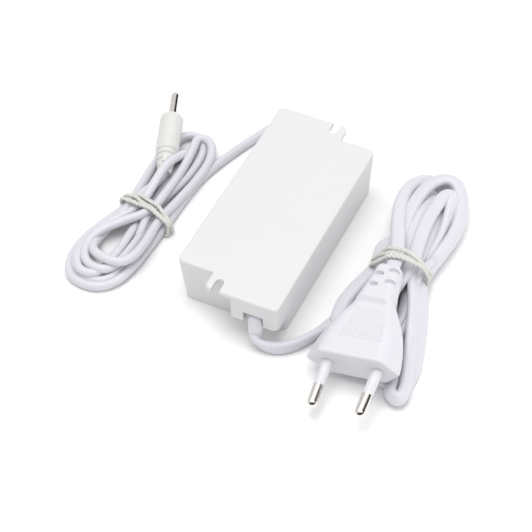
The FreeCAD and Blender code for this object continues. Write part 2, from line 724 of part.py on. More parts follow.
def make_tie(label, circles, centre, slant):
    """Closed band round a hank; circles give its inner outline across the hank."""
    body = new_body(label)
    sketch = new_sketch(body, label + "_section", "XZ_Plane")
    draw(sketch, hull_outline(circles))
    grown = [(x, z, radius + size("tie_thickness")) for x, z, radius in circles]
    draw(sketch, hull_outline(grown))
    pad = extrude(body, label + "_pad", sketch, ROOT + "tie_width")
    pad.Midplane = True
    keep(body, label, Placement(Vector(*centre), Rotation(Z_AXIS, slant)))


# ---------------------------------------------------------------- mains plug

PLUG_TURN = Rotation(Y_AXIS, -8.6).multiply(Rotation(X_AXIS, 7.8)).multiply(Rotation(Z_AXIS, 3.2))
PLUG_PLACE = Placement(Vector(52.3, -51.8, 11.35), PLUG_TURN)
HALF_THICK = size("plug_thickness") / 2


def hexagon(body, name, back, half_width, half_flat, half_thickness):
    """Six-sided section across the plug, at a distance behind its pin face."""
    sketch = new_sketch(body, name, "XZ_Plane", height=str(-back))
    corners = [(half_width, 0), (half_flat, half_thickness), (-half_flat, half_thickness),
               (-half_width, 0), (-half_flat, -half_thickness), (half_flat, -half_thickness)]
    corners = [Vector(x, z, 0) for x, z in corners]
    draw(sketch, [Part.LineSegment(a, b) for a, b in zip(corners, corners[1:] + corners[:1])])
    return sketch


def make_mains_plug():
    """Moulded Europlug.  Local frame: pins point along -Y from the face at y = 0."""
    body = new_body("plug_mould")
    half_width = size("plug_width") / 2
    half_flat = size("plug_flat") / 2
    sections = [
        (0.0, half_width, half_flat, HALF_THICK),
        (8.0, half_width, half_flat, HALF_THICK),
        (16.0, half_width - 3.4, half_flat - 1.6, HALF_THICK - 0.3),
        (22.0, half_width - 7.6, half_flat - 4.0, HALF_THICK - 0.6),
        (size("plug_length"), 8.4, 6.4, HALF_THICK - 0.8),
    ]
    sketches = [hexagon(body, f"plug_section_{index}", *section)
                for index, section in enumerate(sections)]
    shell = body.newObject("PartDesign::AdditiveLoft", "plug_shell")
    shell.Profile = sketches[0]
    shell.Sections = sketches[1:]
    shell.Ruled = True
    DOC.recompute()
    tail = [hexagon(body, "tail_root", size("plug_length") - 0.5, 6.4, 5.4, 3.9),
            hexagon(body, "tail_end", size("plug_length") + 20.0, 4.4, 3.4, 3.0)]
    relief = body.newObject("PartDesign::AdditiveLoft", "plug_relief")
    relief.Profile = tail[0]
    relief.Sections = tail[1:]
    relief.Ruled = True
    DOC.recompute()

    room = ("bridge", 27.0, 8.0, 7.0, (-13.5, 1.6, -3.5))
    shanks = [pin_shank("pin_bore", side) for side in (-1, 1)]
    hollow = fuse("plug_inner", [box(*room)] + shanks)
    keep(cut("plug_hollowed", body, hollow), "mains_plug_body", PLUG_PLACE)
    shanks = [pin_shank("bridge_bore", side) for side in (-1, 1)]
    keep(cut("bridge_bored", box(*room), fuse("bridge_bores", shanks)), "mains_plug_bridge",
         PLUG_PLACE)

    outside = size("pin_diameter") / 2
    cover = size("pin_cover_length")
    rise = outside * size("pin_lean") / size("pin_length")   # lifts the leaning rim off the face
    for side, name in ((-1, "left"), (1, "right")):
        base, lean = pin_axis(side)
        blank = cylinder("sleeve_blank", outside, cover - rise, tuple(base + lean * rise), lean)
        keep(cut("sleeve", blank, pin_shank("sleeve_bore", side)), "plug_pin_sleeve_" + name,
             PLUG_PLACE)
        bare = cylinder("pin_bare", outside, size("pin_length") - outside - cover,
                        tuple(base + lean * cover), lean)
        dome = DOC.addObject("Part::Sphere", "pin_dome")
        dome.setExpression("Radius", ROOT + "pin_diameter / 2")
        dome.Placement = Placement(base + lean * (size("pin_length") - outside), NO_TURN)
        keep(fuse("pin", [pin_shank("pin_core", side), bare, dome]), "plug_pin_" + name, PLUG_PLACE)


def pin_axis(side):
    """Base point on the face and direction of one pin; the two lean together."""
    base = Vector(side * size("pin_spacing") / 2, 0, 0)
    lean = Vector(-side * size("pin_lean"), -size("pin_length"), 0).normalize()
    return base, lean


def pin_shank(name, side):
    """The thin part of a pin: its root inside the plug and its core inside the sleeve."""
    base, lean = pin_axis(side)
    inside = size("pin_inside")
    return cylinder(name, ROOT + "pin_diameter / 2 - 0.45", inside + size("pin_cover_length"),
                    tuple(base - lean * inside), lean)


# ---------------------------------------------------------------- low-voltage plug

DC_PLUG_SHOULDER = Vector(-64.2, 35.4, 9.3)
DC_PLUG_AXIS = Vector(-0.355, 0.928, 0.115)
DC_PLUG_PLACE = Placement(DC_PLUG_SHOULDER, Rotation(Z_AXIS, DC_PLUG_AXIS))


def revolved(name, profile):
    """A body turned about its own Z axis from a closed profile of (radius, height) corners."""
    body = new_body(name)
    sketch = new_sketch(body, name + "_profile", "XZ_Plane")
    corners = [Vector(radius, height, 0) for radius, height in profile]
    draw(sketch, [Part.LineSegment(a, b) for a, b in zip(corners, corners[1:] + corners[:1])])
    turn = body.newObject("PartDesign::Revolution", name + "_turn")
    turn.Profile = sketch
    axis = next(item for item in body.Origin.OriginFeatures if item.Role == "Z_Axis")
    turn.ReferenceAxis = (axis, [""])
    turn.Angle = 360
    DOC.recompute()
    return body


def make_dc_plug():
    """Barrel plug.  Local frame: the barrel points along +Z from the shoulder at z = 0."""
    grip = size("dc_plug_diameter") / 2
    back = size("dc_plug_grip")
    barrel = size("barrel_diameter") / 2
    sleeve, contact, bore = barrel - 0.4, barrel - 0.8, size("barrel_bore") / 2
    inside = 6.0
    mould = [(grip - 1.4, 0), (grip - 0.4, -0.5), (grip, -1.6), (grip - 0.1, -back),
             (grip - 0.8, -back), (grip - 0.8, -back - 0.8), (grip - 0.3, -back - 0.8),
             (grip - 0.5, -back - 2.4), (grip - 1.3, -back - 2.4), (grip - 1.3, -back - 3.2),
             (grip - 1.0, -back - 3.2), (2.5, -back - 10.5), (0, -back - 10.5), (0, -inside),
             (barrel - 0.15, -inside), (barrel - 0.15, 0)]
    keep(revolved("dc_mould", mould), "dc_plug_body", DC_PLUG_PLACE)
    length = size("barrel_length")
    tip = [(sleeve, length - 0.6), (barrel - 0.25, length - 0.6), (barrel, length - 1.0),
           (barrel, 0), (barrel - 0.15, 0), (barrel - 0.15, -inside), (sleeve, -inside)]
    keep(revolved("dc_barrel", tip), "dc_plug_barrel", DC_PLUG_PLACE)
    ring = [(contact, -inside), (sleeve, -inside), (sleeve, length - 0.6), (barrel - 0.25, length - 0.6),
            (barrel - 0.6, length), (contact, length)]
    keep(revolved("dc_insulator", ring), "dc_plug_insulator", DC_PLUG_PLACE)
    inner = [(bore, -inside + 1.0), (bore, length - 0.4), (contact, length - 0.4), (contact, -inside),
             (0, -inside), (0, -inside + 1.0)]
    keep(revolved("dc_contact", inner), "dc_plug_contact", DC_PLUG_PLACE)


# ---------------------------------------------------------------- build, check and write

def build():
    make_lower_housing()
    make_mounting_cover()
    make_circuit_board()
    make_insulation_sheet()
    make_fuse_and_filter()
    make_primary_side()
    make_transformer()
    make_secondary_side()
    make_inner_wires()
    make_strain_relief("mains_strain_relief", -1, MAINS_NECK, size("relief_width"),
                       size("relief_thickness"))
    make_strain_relief("dc_strain_relief", 1, DC_NECK, 5.4, 4.9)
    make_mains_cord()
    make_mains_plug()
    make_dc_cord()
    make_dc_plug()
    make_tie("mains_hank_tie", MAINS_TIE, (49.6, -1.8, 0), -4.5)
    make_tie("dc_hank_tie", DC_TIE, (-51.6, -10.5, 0), -15.8)


def check():
    DOC.recompute()
    for item in DOC.Objects:
        for word in ("Invalid", "Error"):
            if word in item.State:
                raise RuntimeError(f"{item.Name} is {word}")
    for item in PARTS:
        if item.Shape.isNull() or not item.Shape.isValid() or not item.Shape.Solids:
            raise RuntimeError(f"{item.Label} has no valid solid")


def write():
    os.makedirs("parts", exist_ok=True)
    for item in PARTS:
        item.Shape.exportStep(f"parts/{item.Label}.step")
    print(len(PARTS), "sub-parts written")


build()
check()
write()
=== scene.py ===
import json
import math

import bmesh
import bpy
import numpy as np
from mathutils import Matrix, Vector


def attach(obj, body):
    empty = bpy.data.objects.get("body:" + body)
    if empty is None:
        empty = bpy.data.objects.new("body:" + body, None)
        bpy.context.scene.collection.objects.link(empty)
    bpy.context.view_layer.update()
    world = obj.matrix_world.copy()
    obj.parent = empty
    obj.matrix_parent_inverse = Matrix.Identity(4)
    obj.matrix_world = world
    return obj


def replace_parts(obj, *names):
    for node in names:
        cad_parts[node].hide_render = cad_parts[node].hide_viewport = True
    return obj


# A small white power adapter with screw ears. Its flat mains lead and its round output lead
# each lie in a tied hank beside it. Shapes are given in millimetres, which MM turns into metres.
# The camera, the lights, the cards, the leads' exits and the two plugs' places are in metres.

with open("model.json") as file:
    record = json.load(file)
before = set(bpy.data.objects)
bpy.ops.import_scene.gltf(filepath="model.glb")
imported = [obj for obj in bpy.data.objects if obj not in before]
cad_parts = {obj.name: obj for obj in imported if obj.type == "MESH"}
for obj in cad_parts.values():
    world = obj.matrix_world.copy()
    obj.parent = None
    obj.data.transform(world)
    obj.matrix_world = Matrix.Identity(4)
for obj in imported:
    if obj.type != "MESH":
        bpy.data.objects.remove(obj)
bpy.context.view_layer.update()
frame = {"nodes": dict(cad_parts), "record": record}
NODES = frame["nodes"]
MM = 0.001


# ---------------------------------------------------------------- camera

AZIMUTH, ELEVATION, ROLL = math.radians(27.31), math.radians(48.65), math.radians(-2.33)
CAMERA_DISTANCE = 0.62004
CAMERA_TARGET = Vector((0.00038, -0.01321, 0))
LENS, SENSOR_WIDTH = 111.93, 36


def make_camera():
    back = Vector((math.sin(AZIMUTH) * math.cos(ELEVATION),
                   -math.cos(AZIMUTH) * math.cos(ELEVATION), math.sin(ELEVATION)))
    right = Vector((math.cos(AZIMUTH), math.sin(AZIMUTH), 0))
    up = back.cross(right)
    turned_right = math.cos(ROLL) * right + math.sin(ROLL) * up
    turned_up = math.cos(ROLL) * up - math.sin(ROLL) * right
    camera = bpy.data.objects.new("camera", bpy.data.cameras.new("camera"))
    camera.data.lens = LENS
    camera.data.sensor_width = SENSOR_WIDTH
    place = Matrix((turned_right, turned_up, back)).transposed().to_4x4()
    place.translation = CAMERA_TARGET + back * CAMERA_DISTANCE
    camera.matrix_world = place
    bpy.context.scene.collection.objects.link(camera)
    bpy.context.scene.camera = camera


# ---------------------------------------------------------------- lines and sweeps

SPLINE_ORDER = 3
LINE_STEPS = 10                    # points read from each span of a lead's spline
FLAT_SECTION_POINTS, ROUND_SECTION_POINTS = 24, 20


def mix(start, end, share):
    return start + (end - start) * share


def smooth_step(value, low, high):
    share = np.clip((value - low) / (high - low), 0, 1)
    return share * share * (3 - 2 * share)


def spline_line(points):
    """Points, in metres, read from the smooth NURBS line whose control points are in mm."""
    curve = bpy.data.curves.new("line", "CURVE")
    curve.dimensions = "3D"
    curve.resolution_u = LINE_STEPS
    spline = curve.splines.new("NURBS")
    spline.points.add(len(points) - 1)
    for knot, point in zip(spline.points, points):
        knot.co = (point[0] * MM, point[1] * MM, point[2] * MM, 1)
    spline.order_u = SPLINE_ORDER
    spline.use_endpoint_u = True
    carrier = bpy.data.objects.new("line", curve)
    bpy.context.scene.collection.objects.link(carrier)
    mesh = bpy.data.meshes.new_from_object(carrier)
    line = np.array([vertex.co for vertex in mesh.vertices])
    bpy.data.objects.remove(carrier)
    bpy.data.curves.remove(curve)
    bpy.data.meshes.remove(mesh)
    return line


def along_spline(values, count):
    """One value per control point, spread over the points read from the same spline.

    The line comes nearest to each inner control point in the middle of a span.
    """
    last = len(values) - 2
    centres = np.clip(np.arange(len(values)) - 0.5, 0, last)
    return np.interp(np.linspace(0, last, count), centres, values)


def level_frames(line):
    """Sideways and upward directions along a line, level with the floor."""
    heading = np.gradient(line, axis=0)
    heading /= np.linalg.norm(heading, axis=1)[:, None]
    side = np.cross(heading, [0.0, 0.0, 1.0])
    side /= np.linalg.norm(side, axis=1)[:, None]
    return side, np.cross(side, heading)


def oval(width, thickness, count):
    """A flat section with round edges, or a circle when both sizes are the same; in metres."""
    radius = thickness / 2
    straight = (width - thickness) / 2
    angles = np.linspace(-math.pi / 2, math.pi / 2, count // 2)
    right = np.stack([straight + radius * np.cos(angles), radius * np.sin(angles)], axis=1)
    return np.concatenate([right, -right]) * MM


def rings_along(line, section, rolls=0.0, sizes=1.0):
    """The section placed at each point of the line, rolled by degrees and scaled."""
    side, rise = level_frames(line)
    roll = np.radians(np.broadcast_to(rolls, len(line)))[:, None]
    across = side * np.cos(roll) + rise * np.sin(roll)
    over = rise * np.cos(roll) - side * np.sin(roll)
    size = np.broadcast_to(sizes, len(line))[:, None, None]
    return (line[:, None] + size * section[None, :, :1] * across[:, None]
            + size * section[None, :, 1:] * over[:, None])


def fix_normals(mesh):
    work = bmesh.new()
    work.from_mesh(mesh)
    bmesh.ops.recalc_face_normals(work, faces=work.faces)
    work.to_mesh(mesh)
    work.free()


def skin(name, rings):
    """A closed mesh over rings of points; its UV runs along and round, in metres."""
    rings = np.asarray(rings)
    count, around = rings.shape[:2]
    mesh = bpy.data.meshes.new(name)
    faces = []
    for row in range(count - 1):
        here, there = row * around, (row + 1) * around
        for column in range(around):
            after = (column + 1) % around
            faces.append((here + column, here + after, there + after, there + column))
    faces.append(tuple(range(around))[::-1])
    faces.append(tuple((count - 1) * around + column for column in range(around)))
    mesh.from_pydata(rings.reshape(-1, 3).tolist(), [], faces)
    steps = np.linalg.norm(np.diff(rings.mean(axis=1), axis=0), axis=1)
    reach = np.concatenate([[0.0], np.cumsum(steps)])
    layer = mesh.uv_layers.new(name="UVMap")
    for loop in mesh.loops:
        row, column = divmod(loop.vertex_index, around)
        layer.data[loop.index].uv = (reach[row], column / around)
    for face in mesh.polygons:
        face.use_smooth = len(face.vertices) == 4
    mesh.validate()
    piece = bpy.data.objects.new(name, mesh)
    bpy.context.scene.collection.objects.link(piece)
    fix_normals(mesh)
    return piece


def closed_rings(line, section, middle):
    """The section carried round a closed line, one axis always along the hank."""
    heading = np.roll(line, -1, axis=0) - np.roll(line, 1, axis=0)
    heading /= np.linalg.norm(heading, axis=1)[:, None]
    outward = line - np.array([middle[0], 0, middle[1]])
    outward -= heading * (outward * heading).sum(axis=1)[:, None]
    outward /= np.linalg.norm(outward, axis=1)[:, None]
    side = np.cross(heading, outward)
    return (line[:, None] + section[None, :, :1] * side[:, None]
            + section[None, :, 1:] * outward[:, None])


def merge_closed(name, loops):
    """One mesh from several closed tubes."""
    points, faces = [], []
    for rings in loops:
        count, around = rings.shape[:2]
        base = len(points)
        points += rings.reshape(-1, 3).tolist()
        for row in range(count):
            here, there = base + row * around, base + (row + 1) % count * around
            for column in range(around):
                after = (column + 1) % around
                faces.append((here + column, here + after, there + after, there + column))
    mesh = bpy.data.meshes.new(name)
    mesh.from_pydata(points, [], faces)
    mesh.shade_smooth()
    piece = bpy.data.objects.new(name, mesh)
    bpy.context.scene.collection.objects.link(piece)
    fix_normals(mesh)
    return piece


def finish_piece(piece, material):
    piece.data.materials.append(material)
    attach(piece, "root")
    return piece


# ---------------------------------------------------------------- materials

NOISE_MIDDLE = (0.3, 0.7)                # the range that most of a noise stays in
GLOSS_RANGE = (0.85, 1.15)               # unevenness of the gloss, as shares of the roughness
GLOSS_PATCHES = 6                        # patches of gloss to one cloud of colour
CLOUD_DETAIL, GLOSS_DETAIL, GRAIN_DETAIL = 4.0, 2.0, 3.0
BLEED_SHARE, BLEED_DEPTH, BLEED_COLOUR = 0.25, 0.0008, (1.0, 0.9, 0.85)


def new_material(name):
    material = bpy.data.materials.new(name)
    material.use_nodes = True
    return material, material.node_tree.nodes, material.node_tree.links


def noise(nodes, links, coordinates, scale, detail):
    texture = nodes.new("ShaderNodeTexNoise")
    texture.inputs["Scale"].default_value = scale
    texture.inputs["Detail"].default_value = detail
    links.new(coordinates, texture.inputs["Vector"])
    return texture.outputs["Fac"]


def spread(nodes, links, fac, low, high):
    """Map a noise's middle range onto low to high."""
    span = nodes.new("ShaderNodeMapRange")
    span.inputs["From Min"].default_value = NOISE_MIDDLE[0]
    span.inputs["From Max"].default_value = NOISE_MIDDLE[1]
    span.inputs["To Min"].default_value = low
    span.inputs["To Max"].default_value = high
    links.new(fac, span.inputs["Value"])
    return span.outputs["Result"]


def moulded(name, colour, roughness, variation, cloud, grain, relief, metallic=0.0,
            specular=0.5):
    """Solid stuff with a faint cloudiness, a fine surface grain and an uneven gloss."""
    material, nodes, links = new_material(name)
    shader = nodes["Principled BSDF"]
    coordinates = nodes.new("ShaderNodeTexCoord").outputs["Object"]
    blend = nodes.new("ShaderNodeMix")
    blend.data_type = "RGBA"
    darker = [channel * (1 - variation) for channel in colour[:3]]
    lighter = [min(1.0, channel * (1 + variation)) for channel in colour[:3]]
    blend.inputs["A"].default_value = (*darker, 1)
    blend.inputs["B"].default_value = (*lighter, 1)
    links.new(noise(nodes, links, coordinates, cloud, CLOUD_DETAIL), blend.inputs["Factor"])
    links.new(blend.outputs["Result"], shader.inputs["Base Color"])
    uneven = noise(nodes, links, coordinates, cloud * GLOSS_PATCHES, GLOSS_DETAIL)
    low, high = (roughness * share for share in GLOSS_RANGE)
    links.new(spread(nodes, links, uneven, low, high), shader.inputs["Roughness"])
    bump = nodes.new("ShaderNodeBump")
    bump.inputs["Strength"].default_value = 1.0
    bump.inputs["Distance"].default_value = relief
    links.new(noise(nodes, links, coordinates, grain, GRAIN_DETAIL), bump.inputs["Height"])
    links.new(bump.outputs["Normal"], shader.inputs["Normal"])
    shader.inputs["Metallic"].default_value = metallic
    shader.inputs["Specular IOR Level"].default_value = specular
    return material


def soften(material):
    """Let light bleed a little through pale plastic."""
    shader = material.node_tree.nodes["Principled BSDF"]
    shader.inputs["Subsurface Weight"].default_value = BLEED_SHARE
    shader.inputs["Subsurface Radius"].default_value = BLEED_COLOUR
    shader.inputs["Subsurface Scale"].default_value = BLEED_DEPTH
    return material


# Colour, roughness, how much the colour varies, clouds and grain in each metre, height of grain.
CASE_WHITE = moulded("case_white", (0.655, 0.65, 0.66), 0.45, 0.012, 30, 3000, 0.000012)
CORD_WHITE = soften(moulded("cord_white", (0.635, 0.635, 0.68), 0.4, 0.02, 60, 1800, 0.00001))
PLUG_WHITE = soften(moulded("plug_white", (0.655, 0.652, 0.692), 0.42, 0.015, 50, 2600, 0.000015))
DC_PLUG_WHITE = soften(moulded("dc_plug_white", (0.645, 0.645, 0.63), 0.45, 0.015, 50, 2600,
                               0.000015))
SLEEVE_WHITE = soften(moulded("pin_sleeve", (0.67, 0.67, 0.70), 0.35, 0.01, 80, 2600, 0.000008))
TIE_CREAM = moulded("tie", (0.62, 0.625, 0.585), 0.6, 0.06, 260, 1900, 0.00006)
NICKEL = moulded("nickel", (0.85, 0.82, 0.78), 0.14, 0.03, 300, 5000, 0.000003, metallic=1.0)
BROWN = moulded("brown_insulator", (0.26, 0.14, 0.05), 0.35, 0.1, 400, 4000, 0.00001)

VISIBLE_SLOTS = {
    "case_white": CASE_WHITE, "cord_white": CORD_WHITE, "plug_white": PLUG_WHITE,
    "dc_plug_white": DC_PLUG_WHITE, "pin_sleeve": SLEEVE_WHITE, "tie": TIE_CREAM,
    "nickel": NICKEL, "brown_insulator": BROWN,
}
METALS = ("copper", "aluminium")
METAL_ROUGHNESS, INNER_ROUGHNESS = 0.3, 0.45
INNER_SURFACE = (0.08, 200, 2500, 0.00002)          # variation, clouds, grain and its height


def dress_nodes():
    """Give every CAD node the material of its slot in the record."""
    colours = {slot["slot"]: slot["base_color"] for slot in frame["record"]["materials"]}
    looks = dict(VISIBLE_SLOTS)
    for slot, colour in colours.items():
        if slot not in looks:
            metal = slot in METALS
            roughness = METAL_ROUGHNESS if metal else INNER_ROUGHNESS
            looks[slot] = moulded(slot, colour, roughness, *INNER_SURFACE,
                                  metallic=1.0 if metal else 0.0)
    for row in frame["record"]["subparts"]:
        node = NODES[row["node"]]
        node.data.materials.clear()
        node.data.materials.append(looks[row["material_slot"]])


# ---------------------------------------------------------------- leads

# A control point is (x, y, height, roll): millimetres, and the flat section's roll in degrees,
# 0 with its wide side level and 90 with it standing on edge.

MAINS_WIDTH, MAINS_THICKNESS = 5.4, 3.2
MAINS_LEAD = [
    (12.45, -43.5, 12.2, 0), (12.45, -46.4, 12.2, 0), (13.15, -47.6, 9.5, 10),
    (14.1, -50.0, 3.6, 50), (20.6, -50.0, 2.75, 90), (27.4, -45.2, 2.75, 90),
    (32.0, -36.5, 2.75, 60), (36.8, -25.5, 1.8, 0), (42.5, -12.5, 2.0, 0),
]
# Where each strand passes through the tie: x, height and roll, at y = 0.
MAINS_PLACES = {
    "up 1": (47.6, 2.8, 90), "down 1": (51.6, 2.8, 90),
    "up 2": (50.4, 9.6, 30), "down 2": (53.8, 9.0, 50),
    "up 3": (53.4, 12.0, 20), "down 3": (55.8, 3.4, 80),
    "up 4": (45.8, 9.0, 25), "down 4": (57.4, 5.2, 60),
    "up 5": (40.6, 6.2, 25), "down 5": (44.0, 10.6, 20),
    "up 6": (56.4, 8.6, 60),
}
# Each turn of the hank: the places it joins, its two sides, its tip, its height and roll on
# the first side, at the tip and on the second side, its slant, and how far each side is
# drawn in along its straight, at its shoulder and at the tip.
EVEN = ((0.0, 0.1, 0.52), (0.0, 0.1, 0.52))
MAINS_TURNS = [
    ("up 1", "down 1", (44.5, 56.0), 38.5, (2.8, 2.8, 2.8), (90, 90, 90), 0.0, EVEN),
    ("down 1", "up 2", (60.0, 43.0), -39.0, (2.0, 1.8, 1.8), (0, 0, 0), -0.25, EVEN),
    ("up 2", "down 2", (45.4, 52.2), 39.4, (8.6, 5.6, 5.6), (0, 10, 30), 0.0, EVEN),
    ("down 2", "up 3", (70.4, 41.0), -49.2, (5.0, 4.4, 2.0), (45, 60, 0), -0.3,
     ((0.32, -0.02, -0.06), (0.45, 1.66, 1.72))),
    ("up 3", "down 3", (49.6, 56.4), 40.4, (9.4, 9.4, 4.8), (0, 10, 75), 0.0,
     ((0.0, 0.1, 0.4), (0.0, 0.3, 0.7))),
    ("down 3", "up 4", (60.5, 39.5), -38.0, (2.8, 2.0, 2.4), (80, 0, 0), -0.3, EVEN),
    ("up 4", "down 4", (41.4, 61.0), 48.8, (8.9, 8.4, 6.0), (15, 15, 30), 0.0,
     ((0.0, 0.08, 0.5), (0.0, 0.34, 0.85))),
    ("down 4", "up 5", (72.4, 35.2), -44.0, (2.4, 2.1, 4.9), (40, 20, 5), -0.3,
     ((0.25, 0.08, 0.3), (0.0, 0.1, 0.6))),
]
MAINS_FOLD = [
    (38.6, 5.6, 7.0, 20), (39.6, 9.8, 7.4, 0), (44.0, 10.4, 8.4, 0), (45.4, 5.0, 9.8, 0),
]
MAINS_LAST_LOOP = [
    (46.0, -12.0, 7.5, 0), (46.0, -24.0, 5.0, 0), (50.0, -31.0, 4.6, 0), (55.5, -29.0, 4.4, 20),
    (57.6, -20.0, 3.8, 40), (56.2, -10.0, 4.6, 40),
]
MAINS_END = [
    (57.8, 11.0, 4.6, 60), (60.0, 24.0, 1.9, 10), (58.0, 36.0, 1.8, 10), (51.6, 46.5, 2.6, 20),
    (42.6, 49.5, 4.6, 20), (36.2, 45.0, 5.5, 10), (35.9, 33.5, 7.8, 5), (39.6, 20.0, 10.8, 0),
    (44.6, 8.0, 13.2, 0), (47.8, -1.0, 14.9, 0), (48.75, -5.3, 16.8, 0), (49.1, -9.0, 16.9, 0),
]

DC_DIAMETER = 3.5
# The output lead is round, so its control points and places have no roll.
DC_LEAD = [
    (-12.45, 43.5, 12.2), (-12.45, 47.2, 12.2), (-13.0, 49.6, 10.1), (-13.9, 55.5, 5.4),
    (-18.3, 59.5, 2.6), (-23.8, 59.3, 1.8), (-28.0, 55.0, 1.8), (-31.0, 48.4, 1.8),
    (-35.3, 38.0, 1.8), (-39.7, 25.6, 1.8), (-42.4, 14.0, 1.8), (-42.9, 2.0, 1.8),
]
DC_PLACES = {
    "down 1": (-42.9, 1.8), "up 1": (-60.6, 1.8),
    "down 2": (-50.6, 5.2), "up 2": (-57.1, 1.8),
    "down 3": (-53.6, 1.8), "up 3": (-54.4, 5.4),
    "down 4": (-48.8, 1.8), "up 4": (-48.4, 7.2),
    "down 5": (-44.8, 5.0), "up 5": (-58.2, 5.0),
}
DC_TURNS = [
    ("down 1", "up 1", (-43.4, -68.4), -50.4, (3.0, 1.8, 1.8), -0.1,
     ((0.0, 0.2, 0.74), (0.0, 0.05, 0.42))),
    ("up 1", "down 2", (-62.4, -46.4), 35.8, (2.0, 2.4, 2.0), 0.0,
     ((0.0, 0.2, 0.6), (0.0, 0.04, 0.55))),
    ("down 2", "up 2", (-46.8, -67.2), -47.4, (2.6, 2.2, 3.6), -0.1, EVEN),
    ("up 2", "down 3", (-57.0, -52.8), 26.0, (1.8, 1.8, 1.8), 0.0, EVEN),
    ("down 3", "up 3", (-51.4, -65.4), -46.8, (4.6, 4.4, 5.0), -0.1, EVEN),
    ("up 3", "down 4", (-54.2, -49.8), 25.0, (9.8, 3.6, 2.0), 0.0,
     ((0.1, 0.5, 0.9), (0.0, 0.1, 0.52))),
    ("down 4", "up 4", (-47.6, -63.8), -44.0, (4.8, 5.6, 6.0), -0.12, EVEN),
    ("up 4", "down 5", (-49.0, -41.8), 33.8, (5.0, 4.8, 3.6), 0.0,
     ((0.0, -0.45, -0.85), (0.0, 0.02, 1.2))),
    ("down 5", "up 5", (-42.8, -62.6), -40.6, (7.6, 8.2, 2.6), -0.12, EVEN),
]
DC_END = [(-57.4, -3.0, 5.0), (-55.0, 3.4, 5.2), (-54.0, 8.6, 5.9), (-55.0, 11.5, 6.3)]
# The output hank's tie crosses it aslant: where its middle is, and how y falls with x.
DC_WAIST_X, DC_WAIST_Y, DC_WAIST_SLOPE = -51.6, -10.5, -0.283

# How far each point of a turn is from the tie, and how round the loop is there.
NECK, SIDE, SHOULDER, TIP = 0.28, 0.58, 0.84, 1.0
ROUNDING = {SIDE: 0.0, SHOULDER: 0.5, TIP: 1.0}
NECK_SHARE = 0.55                  # how far from the tie's place to the loop's side the neck is
SLANT_GROWTH = 1.2                 # a loop's slant is full a little before its tip


def half_turn(start, finish, sides, tip, heights, rolls, slant, insets):
    """Points from the tie out along one side of a loop, round its tip and back."""
    middle = sum(sides) / 2
    ways = []
    for end, side, height, roll, inset in zip((start, finish), sides, heights[::2], rolls[::2],
                                              insets):
        straight = mix(side, middle, inset[0])
        way = [[mix(end[0], straight, NECK_SHARE), mix(end[2], height, NECK_SHARE),
                mix(end[3], roll, NECK_SHARE), NECK]]
        for share, inward in zip((SIDE, SHOULDER, TIP), inset):
            rounding = ROUNDING[share]
            way.append([mix(side, middle, inward), mix(height, heights[1], rounding),
                        mix(roll, rolls[1], rounding), share])
        ways.append([(x, mix(end[1], tip, share)
                      + slant * (x - middle) * min(1.0, share * SLANT_GROWTH), z, turn)
                     for x, z, turn, share in way])
    return ways[0] + ways[1][::-1]


def mains_points():
    """The whole mains lead: out of the case, round the hank and into its plug."""
    def place(name):
        x, height, roll = MAINS_PLACES[name]
        return (x, 0.0, height, roll)

    points = list(MAINS_LEAD)
    for first, last, *turn in MAINS_TURNS:
        points += [place(first)] + half_turn(place(first), place(last), *turn)
    points += [place("up 5")] + MAINS_FOLD + [place("down 5")]
    points += MAINS_LAST_LOOP + [place("up 6")] + MAINS_END
    return points


def dc_points():
    """The whole output lead: out of the case, round its hank and into its plug."""
    def place(name):
        x, height = DC_PLACES[name]
        return (x, DC_WAIST_Y + DC_WAIST_SLOPE * (x - DC_WAIST_X), height, 0)

    points = [(*point, 0) for point in DC_LEAD]
    for first, last, sides, tip, heights, *turn in DC_TURNS:
        points.append(place(first))
        points += half_turn(place(first), place(last), sides, tip, heights, (0, 0, 0), *turn)
    points.append(place("up 5"))
    return points + [(*point, 0) for point in DC_END]


def make_cords():
    """Both leads, with the lines and the rolls that the strain reliefs follow."""
    control = mains_points()
    mains_line = spline_line(control)
    rolls = along_spline([point[3] for point in control], len(mains_line))
    section = oval(MAINS_WIDTH, MAINS_THICKNESS, FLAT_SECTION_POINTS)
    mains = skin("mains_lead", rings_along(mains_line, section, rolls))
    finish_piece(mains, CORD_WHITE)
    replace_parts(mains, "mains_cord", "mains_cord_hank", "mains_cord_loop")

    dc_line = spline_line(dc_points())
    section = oval(DC_DIAMETER, DC_DIAMETER, ROUND_SECTION_POINTS)
    dc = skin("dc_lead", rings_along(dc_line, section))
    finish_piece(dc, CORD_WHITE)
    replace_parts(dc, "dc_cord", "dc_cord_hank")
    return mains, mains_line, rolls, dc, dc_line


# ---------------------------------------------------------------- strain reliefs

FLANGE_SIZE = 1.62                 # as a share of the sleeve's section
RELIEF_FLANGE = [(42.1, FLANGE_SIZE), (43.3, FLANGE_SIZE), (43.35, 1.0)]    # distance out, size
RELIEF_TAPER, RELIEF_LIP = 0.94, 0.86
MAINS_RELIEF_SECTION, DC_RELIEF_SECTION = (5.9, 4.2), (5.4, 4.9)    # width, thickness
MAINS_RELIEF_END, DC_RELIEF_END = 7.0, 9.2                          # heights where they stop


